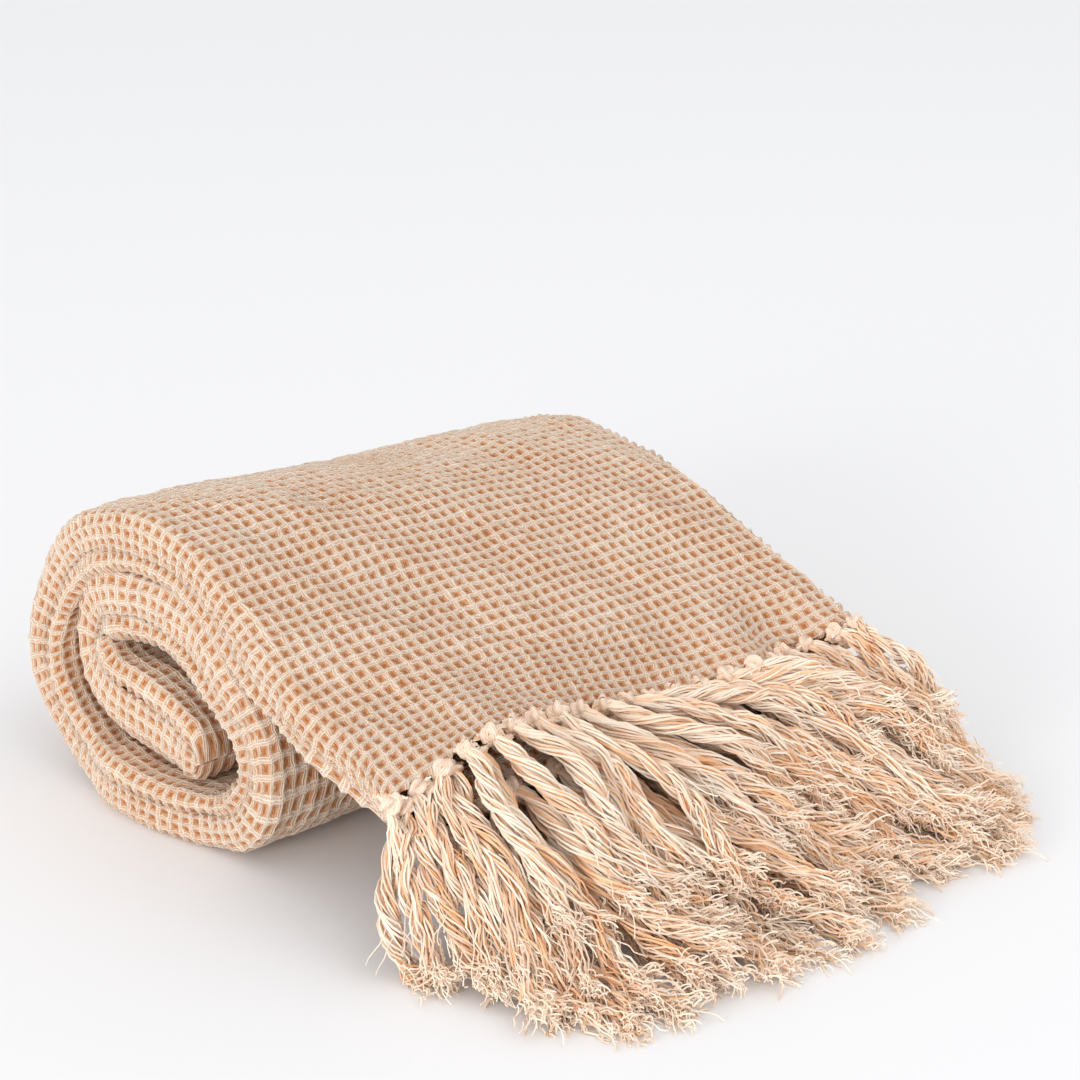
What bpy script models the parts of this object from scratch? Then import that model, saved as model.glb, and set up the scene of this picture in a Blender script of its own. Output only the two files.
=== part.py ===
"""A waffle weave cotton throw, rolled up, with a knotted tassel fringe at its loose end.

The throw is doubled end to end, folded in three lengthwise and rolled from its doubled end.
The strip's loose end runs over the roll and down to the front, where six fringed hems lie
one over another. Metres, +Z up, +X along the roll, the fringe towards -Y. The origin is on
the floor, under the middle of the whole object.
"""

import math
import random
from collections import namedtuple

import bmesh
import bpy
from mathutils import Matrix, Vector

# The strip, as folded in three. Its notches are where one fold of a rim meets the next.
STRIP_WIDTH = 0.42
FAR_EDGE = STRIP_WIDTH / 2
STEPS_PER_ROW = 2
SURFACE_COLUMNS = 9
RIM_SEGMENTS = 4
NOTCH_LIFT = 1 / 3
NOTCH_DEPTH = 0.009

# The rims' rounded folds, in their order round the section: from and to which lift, and how
# far the fold reaches out. Thick lies over thin at the near rim, thin over thick at the far.
Fold = namedtuple("Fold", "start end reach")
NEAR_FOLDS = (Fold(1, -NOTCH_LIFT, 0.012), Fold(-NOTCH_LIFT, -1, 0.006))
FAR_FOLDS = (Fold(-1, NOTCH_LIFT, 0.012), Fold(NOTCH_LIFT, 1, 0.006))

# Rows follow the middle of the strip from the heart of the roll to where its layers part.
# near_* is the end of the roll that shows its turns, far_* the end turned away.
Station = namedtuple("Station", "near_x near_y near_z far_y far_z near_thick far_thick")
WINDING = (
    Station(-0.204, 0.018, 0.061, 0.017, 0.052, 0.037, 0.030),
    Station(-0.206, 0.060, 0.066, 0.060, 0.055, 0.042, 0.033),
    Station(-0.208, 0.104, 0.076, 0.103, 0.060, 0.042, 0.031),
    Station(-0.208, 0.136, 0.098, 0.134, 0.076, 0.040, 0.028),
    Station(-0.208, 0.131, 0.127, 0.134, 0.102, 0.039, 0.028),
    Station(-0.208, 0.101, 0.144, 0.103, 0.118, 0.039, 0.031),
    Station(-0.208, 0.056, 0.144, 0.056, 0.117, 0.040, 0.032),
    Station(-0.208, 0.013, 0.133, 0.012, 0.110, 0.041, 0.033),
    Station(-0.209, -0.020, 0.110, -0.024, 0.092, 0.041, 0.033),
    Station(-0.210, -0.040, 0.082, -0.044, 0.069, 0.041, 0.033),
    Station(-0.213, -0.047, 0.053, -0.049, 0.045, 0.041, 0.033),
    Station(-0.222, -0.029, 0.028, -0.029, 0.023, 0.041, 0.033),
    Station(-0.232, 0.014, 0.0178, 0.017, 0.0142, 0.040, 0.033),
    Station(-0.240, 0.062, 0.0178, 0.066, 0.0142, 0.040, 0.033),
    Station(-0.242, 0.110, 0.022, 0.115, 0.018, 0.040, 0.033),
    Station(-0.237, 0.156, 0.047, 0.159, 0.038, 0.040, 0.033),
    Station(-0.229, 0.183, 0.088, 0.183, 0.071, 0.040, 0.033),
    Station(-0.221, 0.181, 0.132, 0.180, 0.107, 0.040, 0.033),
    Station(-0.214, 0.147, 0.172, 0.148, 0.141, 0.040, 0.033),
    Station(-0.211, 0.088, 0.194, 0.092, 0.158, 0.040, 0.033),
    Station(-0.210, 0.020, 0.184, 0.022, 0.157, 0.039, 0.032),
    Station(-0.210, -0.052, 0.148, -0.056, 0.139, 0.038, 0.031),
    Station(-0.210, -0.112, 0.116, -0.130, 0.112, 0.037, 0.031),
)
LAST_ROW = len(WINDING) - 1
TANGENT_REACH = 0.02

# The free tongue in the heart of the roll is a fold, so its end is round: each row is how
# far it lies ahead of the first station, and its share of the thickness there
NOSE = ((0.016, 0.45), (0.010, 0.80))

# The strip's three folded layers part towards the hem, the topmost first
Leaf = namedtuple("Leaf", "near_y near_z far_y far_z thick half_width")
LEAVES = (
    Leaf(-0.184, 0.100, -0.204, 0.090, 0.012, 0.2100),
    Leaf(-0.201, 0.073, -0.219, 0.064, 0.012, 0.1910),
    Leaf(-0.216, 0.046, -0.232, 0.040, 0.012, 0.1715),
)
LEAF_STEPS = 4

# A broad soft wave lifts the near half of the loose end, from the row that tops the roll.
# Shallow ripples, as angles per metre across and per row, cross the winding and its rim.
WAVE_LIFT = 0.009
WAVE_MIDDLE = -0.105
WAVE_REACH = 0.085
WAVE_FROM_ROW = 18
ROLL_RIPPLE = 0.0022
RIPPLE_TURN_ACROSS = 14.0
RIPPLE_TURN_PER_ROW = 0.9
RIM_RIPPLE = 0.003
RIM_TURN_PER_ROW = 2.3

# The fringe: each leaf is doubled cloth, so it carries an upper and a lower fringed hem.
# Each hem has one tassel fewer than the hem above it and lies half a pitch across from it.
HEMS = len(LEAVES) * 2
TOP_TASSELS = 21
TASSEL_PITCH = 0.0194
HEM_CLEARANCE = 0.0003
BACKING_DEPTH = 0.004
BACKING_HEIGHT = 0.0046
PAIR_RISE = 0.0042
PAIR_STEP = 0.003

# Tassels lie in decks on the floor. Those at the two sides splay outwards, and the last few
# at the far side lean further. Those of the middle are brushed towards the far side. All swing
# between the two lines, near and far.
DECK_PITCH = 0.0098
TASSEL_LENGTH = 0.150
LENGTH_SPREAD = 0.007
SIDE_SPLAY = 0.0066
FAR_LEAN = 0.014
LEAN_COLUMNS = 8
BRUSHED = 0.036
BRUSHED_FROM = 0.10
BRUSHED_MOST_AT = 0.45
BRUSHED_UNTIL = 0.88
SWAY = 0.006
SWAY_LENGTH = 0.45
NEAR_SWING = (-0.222, -0.320)
FAR_SWING = (-0.240, -0.352)

# Where they come to the floor, nearer to the hem over the near corner's share of the width
NEAR_LANDING = -0.312
FAR_LANDING = -0.328
CORNER_SHARE = 0.30
CORNER_DRAW_IN = 0.038
FALL_ROUNDING = 0.35
KNOT_RUN = 0.010

# Rows follow a tassel from its hem to its combed-out end: share of the length, width, height
Girth = namedtuple("Girth", "share width height")
TASSEL_GIRTHS = (
    Girth(0.020, 0.0070, 0.0055),
    Girth(0.060, 0.0092, 0.0076),
    Girth(0.105, 0.0070, 0.0060),
    Girth(0.320, 0.0080, 0.0054),
    Girth(0.540, 0.0080, 0.0054),
    Girth(0.760, 0.0086, 0.0060),
    Girth(1.000, 0.0112, 0.0066),
)
DECK_FLOOR = TASSEL_GIRTHS[-1].height / 2
CREASE_ANGLE = math.radians(50)

# The middle of the whole object on the floor, measured from the winding's own zero
CENTRE = Vector((-0.004, -0.090, 0.0))

COTTON = (0.83, 0.61, 0.46, 1.0)
YARN = (0.86, 0.68, 0.55, 1.0)


def cotton_material(name, colour):
    """Matt cotton in one plain colour."""
    material = bpy.data.materials.new(name)
    material.use_nodes = True
    surface = material.node_tree.nodes["Principled BSDF"]
    surface.inputs["Base Color"].default_value = colour
    surface.inputs["Roughness"].default_value = 0.95
    surface.inputs["Metallic"].default_value = 0.0
    return material


def blend(start, end, share):
    return start + (end - start) * share


def ease(share):
    share = min(max(share, 0.0), 1.0)
    return share * share * (3 - 2 * share)


def station_at(place):
    """The station that a smooth curve through all rows has at a place counted in rows."""
    index = min(int(place), LAST_ROW - 1)
    share = place - index
    before = WINDING[max(index - 1, 0)]
    start, end = WINDING[index], WINDING[index + 1]
    after = WINDING[min(index + 2, LAST_ROW)]
    values = []
    for a, b, c, d in zip(before, start, end, after):
        slope_b, slope_c = (c - a) / 2, (d - b) / 2
        cubic = 2 * b - 2 * c + slope_b + slope_c
        square = 3 * c - 3 * b - 2 * slope_b - slope_c
        values.append(((cubic * share + square) * share + slope_b) * share + b)
    return Station(*values)


def middle_at(place, share):
    """The middle of the strip's thickness, as (y, z), at a share of the way across it."""
    row = station_at(min(max(place, 0.0), LAST_ROW))
    return Vector((blend(row.near_y, row.far_y, share), blend(row.near_z, row.far_z, share)))


def wave(x):
    """Height of the wave across the loose end, 0 away from it and 1 at its crest."""
    return math.exp(-(((x - WAVE_MIDDLE) / WAVE_REACH) ** 2))


def column_shares():
    return [column / (SURFACE_COLUMNS + 1) for column in range(1, SURFACE_COLUMNS + 1)]


def rim_points(share, folds):
    """One rim of the section: two half rounds, which meet in a notch."""
    points = []
    for fold in folds:
        for step in range(RIM_SEGMENTS + 1):
            turn = math.pi * step / RIM_SEGMENTS
            lift = blend(fold.start, fold.end, (1 - math.cos(turn)) / 2)
            points.append((share, fold.reach * (1 - math.sin(turn)), lift))
    first = points[:RIM_SEGMENTS]
    second = points[RIM_SEGMENTS + 2:]
    notch = (share, NOTCH_DEPTH, folds[0].end)
    return first + [notch] + second


def section():
    """The strip's cross-section, round it: (share across, inset from the rim, lift -1 to 1)."""
    under = [(share, 0.0, -1.0) for share in column_shares()]
    over = [(share, 0.0, 1.0) for share in reversed(column_shares())]
    return rim_points(0.0, NEAR_FOLDS) + under + rim_points(1.0, FAR_FOLDS) + over


def strip_point(place, share, inset, lift, slimming=1.0, push=0.0):
    """A point of the strip's skin: its place along the winding, across it and up its thickness."""
    row = station_at(place)
    along = middle_at(place + TANGENT_REACH, share) - middle_at(place - TANGENT_REACH, share)
    along.normalize()
    outward = Vector((along.y, -along.x))
    thick = blend(row.near_thick, row.far_thick, share) * slimming
    near_edge = row.near_x + RIM_RIPPLE * math.sin(RIM_TURN_PER_ROW * place)
    x = blend(near_edge, FAR_EDGE, share) + (inset if share < 0.5 else -inset)
    phase = RIPPLE_TURN_ACROSS * x + RIPPLE_TURN_PER_ROW * place
    ripple = ROLL_RIPPLE * math.sin(phase) * math.sin(math.pi * share)
    skin = middle_at(place, share) - along * push + outward * (lift * thick / 2 + ripple)
    loose = ease((place - WAVE_FROM_ROW) / (LAST_ROW - WAVE_FROM_ROW))
    return Vector((x, skin.x, max(skin.y + WAVE_LIFT * wave(x) * loose, 0.0)))


def build_throw():
    """The wound strip: one ring of points carried along the winding, then three leaves."""
    ring = section()
    steps = LAST_ROW * STEPS_PER_ROW
    stations = [(0, slimming, push) for push, slimming in NOSE]
    stations += [(step / STEPS_PER_ROW, 1.0, 0.0) for step in range(steps + 1)]
    bm = bmesh.new()
    lift_layer = bm.verts.layers.float.new("lift")
    verts = []
    for share, inset, lift in ring:
        verts.append(bm.verts.new(strip_point(stations[0][0], share, inset, lift, *stations[0][1:])))
        verts[-1][lift_layer] = lift
    edges = [bm.edges.new((verts[index - 1], verts[index])) for index in range(len(verts))]
    bmesh.ops.contextual_create(bm, geom=edges)
    for place, slimming, push in stations[1:]:
        grown = bmesh.ops.extrude_edge_only(bm, edges=edges)["geom"]
        passed = set(verts)
        edges = [item for item in grown if isinstance(item, bmesh.types.BMEdge)]
        edges = [edge for edge in edges if passed.isdisjoint(edge.verts)]
        leading = {vert for edge in edges for vert in edge.verts}
        following = []
        for old in verts:
            linked = [edge.other_vert(old) for edge in old.link_edges]
            following.append(next(vert for vert in linked if vert in leading))
        verts = following
        for vert, (share, inset, lift) in zip(verts, ring):
            vert.co = strip_point(place, share, inset, lift, slimming, push)
    for leaf, faces in zip(LEAVES, leaf_ends(bm, verts, ring, lift_layer)):
        grow_leaf(bm, leaf, faces, lift_layer)
    bmesh.ops.recalc_face_normals(bm, faces=bm.faces)
    mesh = bpy.data.meshes.new("throw")
    bm.to_mesh(mesh)
    bm.free()
    mesh.shade_smooth()
    return mesh


def leaf_ends(bm, verts, ring, lift_layer):
    """Closes the strip's end with three rows of faces, one for each leaf, the topmost first."""
    over = [vert for vert, (share, _, lift) in zip(verts, ring) if 0 < share < 1 and lift > 0]
    under = [vert for vert, (share, _, lift) in zip(verts, ring) if 0 < share < 1 and lift < 0]
    rows = [over[::-1], under]
    for lift in (-NOTCH_LIFT, NOTCH_LIFT):
        inner = []
        for share in column_shares():
            inner.append(bm.verts.new(strip_point(LAST_ROW, share, 0.0, lift)))
            inner[-1][lift_layer] = lift
        rows.insert(1, inner)
    bounds = (1.0, NOTCH_LIFT, -NOTCH_LIFT, -1.0)
    bands = []
    for upper, lower, high, low in zip(rows, rows[1:], bounds, bounds[1:]):
        band = []
        for column in range(SURFACE_COLUMNS - 1):
            corners = (upper[column], upper[column + 1], lower[column + 1], lower[column])
            band.append(bm.faces.new(corners))
        near_rim = rim_between(verts, ring, 0.0, low, high)
        far_rim = rim_between(verts, ring, 1.0, low, high)
        band.append(bm.faces.new(near_rim + [lower[0], upper[0]]))
        band.append(bm.faces.new(far_rim + [upper[-1], lower[-1]]))
        bands.append(band)
    return bands


def rim_between(verts, ring, share, low, high):
    """The rim's points between two lifts, in the order they have round the section."""
    slack = 0.01
    found = []
    for vert, (at, _, lift) in zip(verts, ring):
        if at == share and low - slack <= lift <= high + slack:
            found.append(vert)
    return found


def hem_middle(leaf, x):
    """The leaf's end at x, as (y, z) of the middle of its thickness."""
    share = x / STRIP_WIDTH + 0.5
    height = blend(leaf.near_z, leaf.far_z, share) + WAVE_LIFT * wave(x)
    return blend(leaf.near_y, leaf.far_y, share), height


def grow_leaf(bm, leaf, faces, lift_layer):
    """One folded layer of the strip, carried forward to its own straight hem."""
    lifts = {vert[lift_layer] for face in faces for vert in face.verts}
    middle = (max(lifts) + min(lifts)) / 2
    reach = (max(lifts) - min(lifts)) / 2
    for steps_left in range(LEAF_STEPS, 0, -1):
        grown = bmesh.ops.extrude_face_region(bm, geom=faces)["geom"]
        bmesh.ops.delete(bm, geom=faces, context="FACES")
        faces = [item for item in grown if isinstance(item, bmesh.types.BMFace)]
        for vert in {vert for face in faces for vert in face.verts}:
            target_x = vert.co.x * leaf.half_width / FAR_EDGE
            y, z = hem_middle(leaf, target_x)
            height = (vert[lift_layer] - middle) / reach * leaf.thick / 2
            vert.co = vert.co.lerp(Vector((target_x, y, z + height)), 1 / steps_left)


def tassel_path(hem, number, root, draw):
    """Points of a tassel's middle line, from its hem to its end.

    A tassel rests on those of the hems below it. At the two sides of the fringe fewer lie
    under it, so it drops further and splays outwards.
    """
    below = HEMS - 1 - hem
    from_far = TOP_TASSELS - hem - 1 - number
    deck = min(below, number, from_far)
    splay = SIDE_SPLAY * (max(below - from_far, 0) - max(below - number, 0))
    splay += FAR_LEAN * max(0.0, 1 - from_far / LEAN_COLUMNS) ** 2
    length = TASSEL_LENGTH + draw.uniform(-LENGTH_SPREAD, LENGTH_SPREAD)
    drop = root.z - DECK_FLOOR - DECK_PITCH * deck
    forward = math.sqrt(length**2 - drop**2 - splay**2)
    across = root.x / STRIP_WIDTH + 0.5
    growing = ease((across - BRUSHED_FROM) / (BRUSHED_MOST_AT - BRUSHED_FROM))
    fading = (BRUSHED_UNTIL - across) / (BRUSHED_UNTIL - BRUSHED_MOST_AT)
    brushed = BRUSHED * min(growing, max(fading, 0.0))
    draw_in = CORNER_DRAW_IN * max(0.0, 1 - across / CORNER_SHARE) ** 2
    landing = blend(NEAR_LANDING, FAR_LANDING, across) + draw_in
    fall_from = root.y - KNOT_RUN
    swing_from, swing_to = (blend(near, far, across) for near, far in zip(NEAR_SWING, FAR_SWING))
    sway = SWAY * math.sin(math.tau * root.x / SWAY_LENGTH)
    points = []
    for girth in TASSEL_GIRTHS:
        y = root.y - forward * girth.share
        fall = min(max((fall_from - y) / (fall_from - landing), 0.0), 1.0)
        fall = blend(fall, ease(fall), FALL_ROUNDING)
        swing = ease((swing_from - y) / (swing_from - swing_to))
        points.append(Vector((root.x + (splay + sway + brushed) * swing, y, root.z - drop * fall)))
    return points


def build_fringe(hem, draw):
    """One fringed hem: a narrow backing strip and its row of tassels."""
    leaf = LEAVES[hem // 2]
    is_lower = hem % 2
    rise = -PAIR_RISE if is_lower else PAIR_RISE
    depth = BACKING_DEPTH + PAIR_STEP * is_lower
    tassels = TOP_TASSELS - hem
    bm = bmesh.new()
    columns = []
    for number in range(tassels + 1):
        x = (number - tassels / 2) * TASSEL_PITCH
        y, z = hem_middle(leaf, x)
        y -= HEM_CLEARANCE
        low, high = z + rise - BACKING_HEIGHT / 2, z + rise + BACKING_HEIGHT / 2
        corners = ((x, y, low), (x, y, high), (x, y - depth, high), (x, y - depth, low))
        columns.append([bm.verts.new(corner) for corner in corners])
    fronts = []
    for left, right in zip(columns, columns[1:]):
        sides = []
        for side in range(4):
            turn = (side + 1) % 4
            sides.append(bm.faces.new((left[side], right[side], right[turn], left[turn])))
        fronts.append(sides[2])
    bm.faces.new(columns[0])
    bm.faces.new(columns[-1])
    bmesh.ops.recalc_face_normals(bm, faces=bm.faces)
    for number, face in enumerate(fronts):
        root = face.calc_center_median()
        grow_tassel(bm, face, root, tassel_path(hem, number, root, draw))
    mesh = bpy.data.meshes.new(f"fringe_{hem + 1}")
    bm.to_mesh(mesh)
    bm.free()
    mesh.shade_smooth()
    mesh.set_sharp_from_angle(angle=CREASE_ANGLE)
    return mesh


def grow_tassel(bm, face, root, points):
    """Carries one face of the backing along a tassel's path: knot, neck, cord, combed end."""
    signs = []
    for vert in face.verts:
        signs.append((math.copysign(1, vert.co.x - root.x), math.copysign(1, vert.co.z - root.z)))
    for index, (point, girth) in enumerate(zip(points, TASSEL_GIRTHS)):
        before = points[index - 1] if index else root
        after = points[min(index + 1, len(points) - 1)]
        along = (after - before).normalized()
        side = Vector((-along.y, along.x, 0)).normalized() * (girth.width / 2)
        up = along.cross(side).normalized() * (girth.height / 2)
        face = bmesh.ops.extrude_discrete_faces(bm, faces=[face])["faces"][0]
        for vert, (sign_side, sign_up) in zip(face.verts, signs):
            vert.co = point + side * sign_side + up * sign_up


def add_object(name, mesh, material):
    """Puts a mesh in the scene, with the whole object's middle moved to the origin."""
    mesh.transform(Matrix.Translation(-CENTRE))
    mesh.materials.append(material)
    bpy.context.scene.collection.objects.link(bpy.data.objects.new(name, mesh))


for old in list(bpy.data.objects):
    bpy.data.objects.remove(old)

add_object("throw", build_throw(), cotton_material("waffle_cotton", COTTON))
strands = random.Random(11)
yarn = cotton_material("fringe_yarn", YARN)
for hem in range(HEMS):
    add_object(f"fringe_{hem + 1}", build_fringe(hem, strands), yarn)
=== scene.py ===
"""A waffle weave cotton throw, rolled up, with its loose end lying forward and a deep knotted
fringe. Metres, +Z up, +X along the roll, the fringe towards -Y, the origin on the floor."""

import math
import random

import bmesh
import bpy
import numpy as np
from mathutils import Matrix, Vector


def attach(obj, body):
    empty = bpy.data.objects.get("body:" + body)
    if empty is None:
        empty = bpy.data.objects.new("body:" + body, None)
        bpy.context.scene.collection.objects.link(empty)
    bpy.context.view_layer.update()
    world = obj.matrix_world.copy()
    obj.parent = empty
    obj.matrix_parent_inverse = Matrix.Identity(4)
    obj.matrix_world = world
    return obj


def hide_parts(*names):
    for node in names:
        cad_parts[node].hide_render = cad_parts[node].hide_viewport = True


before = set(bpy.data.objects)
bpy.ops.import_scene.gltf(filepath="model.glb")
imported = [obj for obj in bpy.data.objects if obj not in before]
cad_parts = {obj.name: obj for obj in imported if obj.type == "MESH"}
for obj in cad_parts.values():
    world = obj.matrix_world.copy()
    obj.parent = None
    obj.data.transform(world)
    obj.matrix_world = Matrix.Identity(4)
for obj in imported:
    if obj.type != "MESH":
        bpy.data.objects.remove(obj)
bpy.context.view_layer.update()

# The camera looks down a little at the open end of the roll and along its loose end, as a
# product photographer's does, with a longish lens.
LOOK_AT = Vector((0.2044, 0.2171, 0.060))
LOOK_AZIMUTH = math.radians(-42)
LOOK_ELEVATION = math.radians(24)
LOOK_DISTANCE = 2.0
LENS = 82.33
FILM_WIDTH = 36

away = Vector((
    math.sin(LOOK_AZIMUTH) * math.cos(LOOK_ELEVATION),
    -math.cos(LOOK_AZIMUTH) * math.cos(LOOK_ELEVATION),
    math.sin(LOOK_ELEVATION),
))
lens = bpy.data.cameras.new("camera")
lens.lens = LENS
lens.sensor_width = FILM_WIDTH
camera = bpy.data.objects.new("camera", lens)
camera.location = LOOK_AT + away * LOOK_DISTANCE
camera.rotation_euler = away.to_track_quat("Z", "Y").to_euler()
scene = bpy.context.scene
scene.collection.objects.link(camera)
scene.camera = camera

# A white studio table top, lit by a bright pale room, one wide soft lamp above the front
# and a broad low panel at the left.
TABLE_SIZE = 6.0
TABLE_WHITE = (0.87, 0.87, 0.875, 1.0)
TABLE_ROUGHNESS = 0.7
TABLE_SHINE = 0.2
ROOM_WHITE = (0.98, 0.985, 1.0, 1.0)
ROOM_STRENGTH = 0.92
# Each light's name, power, width and place, and the point that they all face
LIGHTS = (
    ("soft_lamp", 30.0, 3.0, Vector((0.9, -2.2, 3.9))),
    ("low_panel", 210.0, 3.2, Vector((-6.5, -1.2, 1.5))),
)
LIGHTS_FACE = Vector((0.0, 0.0, 0.1))

scene.view_settings.view_transform = "Standard"

bm = bmesh.new()
bmesh.ops.create_grid(bm, x_segments=1, y_segments=1, size=TABLE_SIZE)
table_mesh = bpy.data.meshes.new("table_top")
bm.to_mesh(table_mesh)
bm.free()
table_white = bpy.data.materials.new("table_white")
table_white.use_nodes = True
table_surface = table_white.node_tree.nodes["Principled BSDF"]
table_surface.inputs["Base Color"].default_value = TABLE_WHITE
table_surface.inputs["Roughness"].default_value = TABLE_ROUGHNESS
table_surface.inputs["Specular IOR Level"].default_value = TABLE_SHINE
table_mesh.materials.append(table_white)
table_top = bpy.data.objects.new("table_top", table_mesh)
scene.collection.objects.link(table_top)

room = bpy.data.worlds.new("room")
room.use_nodes = True
room.node_tree.nodes["Background"].inputs["Color"].default_value = ROOM_WHITE
room.node_tree.nodes["Background"].inputs["Strength"].default_value = ROOM_STRENGTH
scene.world = room

for light_name, power, width, light_at in LIGHTS:
    light_data = bpy.data.lights.new(light_name, "AREA")
    light_data.energy = power
    light_data.size = width
    light = bpy.data.objects.new(light_name, light_data)
    light.location = light_at
    light.rotation_euler = (light_at - LIGHTS_FACE).to_track_quat("Z", "Y").to_euler()
    scene.collection.objects.link(light)

# The throw: one cotton cloth in waffle weave, doubled end to end, folded in three lengthwise
# and rolled from its doubled end. One skin of cloth is carried round the folded strip and along
# the roll: its rows follow the winding, its columns the strip's section, three to a waffle cell.
CELL = 0.0093
CELL_PHASES = (0.0, 0.30, 0.70)
STRIP_WIDTH = 0.42
STRIP_CELLS = round(STRIP_WIDTH / CELL)
FAR_EDGE = STRIP_WIDTH / 2
# Where the middle of the roll's own measures stands, and how near the floor its cloth comes
CENTRE = np.array((0.004, 0.090, 0.0))
FLOOR_GAP = 0.0004

# The winding, from the doubled end out to where the layers part, with about nine rows to a turn:
# near x, near y and z, far y and z, near and far thickness
WINDING = np.array((
    (-0.221, 0.018, 0.065, 0.017, 0.052, 0.052, 0.032),
    (-0.223, 0.060, 0.073, 0.060, 0.055, 0.059, 0.035),
    (-0.223, 0.103, 0.082, 0.103, 0.060, 0.057, 0.033),
    (-0.220, 0.1345, 0.102, 0.134, 0.076, 0.052, 0.030),
    (-0.215, 0.130, 0.127, 0.134, 0.102, 0.050, 0.030),
    (-0.211, 0.101, 0.1425, 0.103, 0.118, 0.051, 0.032),
    (-0.208, 0.056, 0.1425, 0.056, 0.117, 0.051, 0.033),
    (-0.208, 0.013, 0.132, 0.012, 0.110, 0.048, 0.033),
    (-0.209, -0.020, 0.110, -0.024, 0.092, 0.043, 0.033),
    (-0.210, -0.040, 0.082, -0.044, 0.069, 0.041, 0.033),
    (-0.213, -0.047, 0.053, -0.049, 0.045, 0.041, 0.033),
    (-0.222, -0.029, 0.028, -0.029, 0.023, 0.041, 0.033),
    (-0.232, 0.014, 0.0178, 0.017, 0.0142, 0.040, 0.033),
    (-0.240, 0.062, 0.0190, 0.066, 0.0142, 0.043, 0.033),
    (-0.242, 0.110, 0.024, 0.115, 0.018, 0.044, 0.033),
    (-0.237, 0.1542, 0.048, 0.159, 0.038, 0.044, 0.033),
    (-0.229, 0.1810, 0.088, 0.183, 0.071, 0.044, 0.033),
    (-0.221, 0.1793, 0.131, 0.180, 0.107, 0.044, 0.033),
    (-0.214, 0.1458, 0.1705, 0.148, 0.141, 0.044, 0.033),
    (-0.211, 0.088, 0.1922, 0.092, 0.158, 0.0435, 0.033),
    (-0.210, 0.020, 0.184, 0.022, 0.157, 0.039, 0.032),
    (-0.210, -0.052, 0.148, -0.056, 0.139, 0.038, 0.031),
    (-0.210, -0.112, 0.116, -0.130, 0.112, 0.037, 0.031),
))
LAST_ROW = len(WINDING) - 1
# The row of the winding from which the strip is the roll's outside, over how many rows it gets
# there, and the row from which it lies loose
OUTER_FROM = 14.5
OUTER_ROWS = 3
LOOSE_FROM = 18
# The doubled end is round: how far its rows lie past the winding's first, and their thickness
DOUBLED_END = ((0.0168, 0.01), (0.0150, 0.42), (0.0110, 0.76), (0.0055, 0.94))
# Where across its width the strip's length is measured, in how many steps, and how far on either
# side of a place, in rows, its slope is
GUIDE_SHARE = 0.3
GUIDE_STEPS = 1101
SLOPE_REACH = 0.02
# The near edge wanders from row to row and the strip sags softly, each by how far and how often
EDGE_WANDER = 0.003
EDGE_TURN = 2.3
SAG = 0.0022
SAG_TURN_ALONG = 14.0
SAG_TURN_ROUND = 0.9

# The strip's three layers part towards the hem: near y and z, far y and z, half width
LEAVES = np.array((
    (-0.184, 0.100, -0.204, 0.090, 0.2100),
    (-0.201, 0.073, -0.219, 0.064, 0.1910),
    (-0.216, 0.046, -0.232, 0.040, 0.1715),
))
LEAF_THICK = 0.012
LEAF_CELLS = 8
# How much of the hem's swells each layer takes, and the swells: height, middle and reach
HEM_HOLDS = np.array((1.0, 0.75, 0.45))
HEM_BACK = ((0.021, -0.02, 0.135), (-0.008, 0.105, 0.022), (0.012, 0.150, 0.020))
HEM_LIFT = ((0.012, -0.11, 0.075), (0.011, 0.195, 0.022), (0.006, 0.10, 0.020), (-0.004, 0.05, 0.05))
LOOSE_LIFT = (0.009, -0.105, 0.085)
# The hem turns in a little under the knots, over its last three rows
HEM_PHASES = (0.0, 0.30, 0.60)
TURNED_IN = np.array((0.0, 0.45, 1.0))
TURN_FORWARD = 0.0016
TURN_INWARD = 0.0030


def blend(start, end, share):
    return start + (end - start) * share


def ease(share):
    share = np.clip(share, 0.0, 1.0)
    return share * share * (3 - 2 * share)


def unit(vectors):
    return vectors / np.maximum(np.linalg.norm(vectors, axis=-1, keepdims=True), 1e-9)


def station_at(place):
    """The winding's values on a smooth curve through all its rows, at places counted in rows."""
    index = np.minimum(place.astype(int), LAST_ROW - 1)
    share = (place - index)[:, None]
    before, start = WINDING[np.maximum(index - 1, 0)], WINDING[index]
    end, after = WINDING[index + 1], WINDING[np.minimum(index + 2, LAST_ROW)]
    slope_start, slope_end = (end - before) / 2, (after - start) / 2
    cubic = 2 * start - 2 * end + slope_start + slope_end
    square = 3 * end - 3 * start - 2 * slope_start - slope_end
    return ((cubic * share + square) * share + slope_start) * share + start


def middle_at(place, share):
    """The middle of the strip's thickness, as (y, z), for rows by columns."""
    row = station_at(np.clip(place, 0.0, LAST_ROW))[:, None, :]
    return np.stack((blend(row[..., 1], row[..., 3], share), blend(row[..., 2], row[..., 4], share)), -1)


def swells(x, *humps):
    """Soft rounded swells along x, each with its height, its middle and its reach."""
    return sum(height * np.exp(-(((x - middle) / reach) ** 2)) for height, middle, reach in humps)


def hem_at(leaf, x):
    """A layer's uneven end at x, as (y, z) of the middle of its thickness."""
    share = x / STRIP_WIDTH + 0.5
    near_y, near_z, far_y, far_z = (LEAVES[leaf, value] for value in range(4))
    y = blend(near_y, far_y, share) + HEM_HOLDS[leaf] * swells(x, *HEM_BACK)
    z = blend(near_z, far_z, share) + swells(x, LOOSE_LIFT) + HEM_HOLDS[leaf] * swells(x, *HEM_LIFT)
    return y, z


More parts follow.
